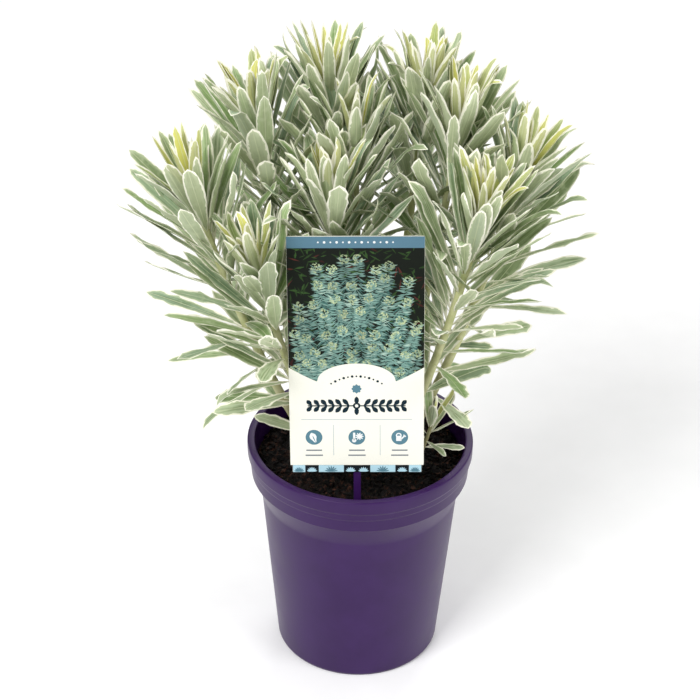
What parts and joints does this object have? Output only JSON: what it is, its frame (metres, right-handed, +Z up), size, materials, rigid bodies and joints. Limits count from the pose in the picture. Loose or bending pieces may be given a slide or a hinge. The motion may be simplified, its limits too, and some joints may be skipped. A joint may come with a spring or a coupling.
{
  "type": "potted euphorbia",
  "caption": "Variegated garden euphorbia with leafy upright shoots, growing in a tapered plastic nursery pot of potting mix with a printed plant label on a stake.",
  "frame": {"origin": "centre of the flat pad under the pot's base, on the surface that the pot stands on", "axes": "+Z up along the pot's axis, -Y towards the front, where the label faces"},
  "size_m": [0.2772, 0.1802, 0.3993],
  "materials": {
    "pot_plastic": "injection-moulded polypropylene, satin",
    "potting_mix": "damp composted bark and peat crumbs, matt",
    "label_print": "printed plastic card, semi-gloss",
    "stem_skin": "smooth living stem, satin",
    "leaf_blade": "living leaf with a pale margin, satin"
  },
  "bodies": {
    "root": {"basal_shoot_leaves": "leaf_blade", "basal_shoot_stem": "stem_skin", "label_card": "label_print", "label_stake": "pot_plastic", "pot": "pot_plastic", "potting_mix": "potting_mix", "shoot_10_crown_leaves": "leaf_blade", "shoot_10_lower_leaves": "leaf_blade", "shoot_10_middle_leaves": "leaf_blade", "shoot_10_stem": "stem_skin", "shoot_10_upper_leaves": "leaf_blade", "shoot_1_crown_leaves": "leaf_blade", "shoot_1_lower_leaves": "leaf_blade", "shoot_1_middle_leaves": "leaf_blade", "shoot_1_stem": "stem_skin", "shoot_1_upper_leaves": "leaf_blade", "shoot_2_crown_leaves": "leaf_blade", "shoot_2_lower_leaves": "leaf_blade", "shoot_2_middle_leaves": "leaf_blade", "shoot_2_stem": "stem_skin", "shoot_2_upper_leaves": "leaf_blade", "shoot_3_crown_leaves": "leaf_blade", "shoot_3_lower_leaves": "leaf_blade", "shoot_3_middle_leaves": "leaf_blade", "shoot_3_stem": "stem_skin", "shoot_3_upper_leaves": "leaf_blade", "shoot_4_crown_leaves": "leaf_blade", "shoot_4_lower_leaves": "leaf_blade", "shoot_4_middle_leaves": "leaf_blade", "shoot_4_stem": "stem_skin", "shoot_4_upper_leaves": "leaf_blade", "shoot_5_crown_leaves": "leaf_blade", "shoot_5_lower_leaves": "leaf_blade", "shoot_5_middle_leaves": "leaf_blade", "shoot_5_stem": "stem_skin", "shoot_5_upper_leaves": "leaf_blade", "shoot_6_crown_leaves": "leaf_blade", "shoot_6_lower_leaves": "leaf_blade", "shoot_6_middle_leaves": "leaf_blade", "shoot_6_stem": "stem_skin", "shoot_6_upper_leaves": "leaf_blade", "shoot_7_crown_leaves": "leaf_blade", "shoot_7_lower_leaves": "leaf_blade", "shoot_7_middle_leaves": "leaf_blade", "shoot_7_stem": "stem_skin", "shoot_7_upper_leaves": "leaf_blade", "shoot_8_crown_leaves": "leaf_blade", "shoot_8_lower_leaves": "leaf_blade", "shoot_8_middle_leaves": "leaf_blade", "shoot_8_stem": "stem_skin", "shoot_8_upper_leaves": "leaf_blade", "shoot_9_crown_leaves": "leaf_blade", "shoot_9_lower_leaves": "leaf_blade", "shoot_9_middle_leaves": "leaf_blade", "shoot_9_stem": "stem_skin", "shoot_9_upper_leaves": "leaf_blade"}
  },
  "joints": []
}
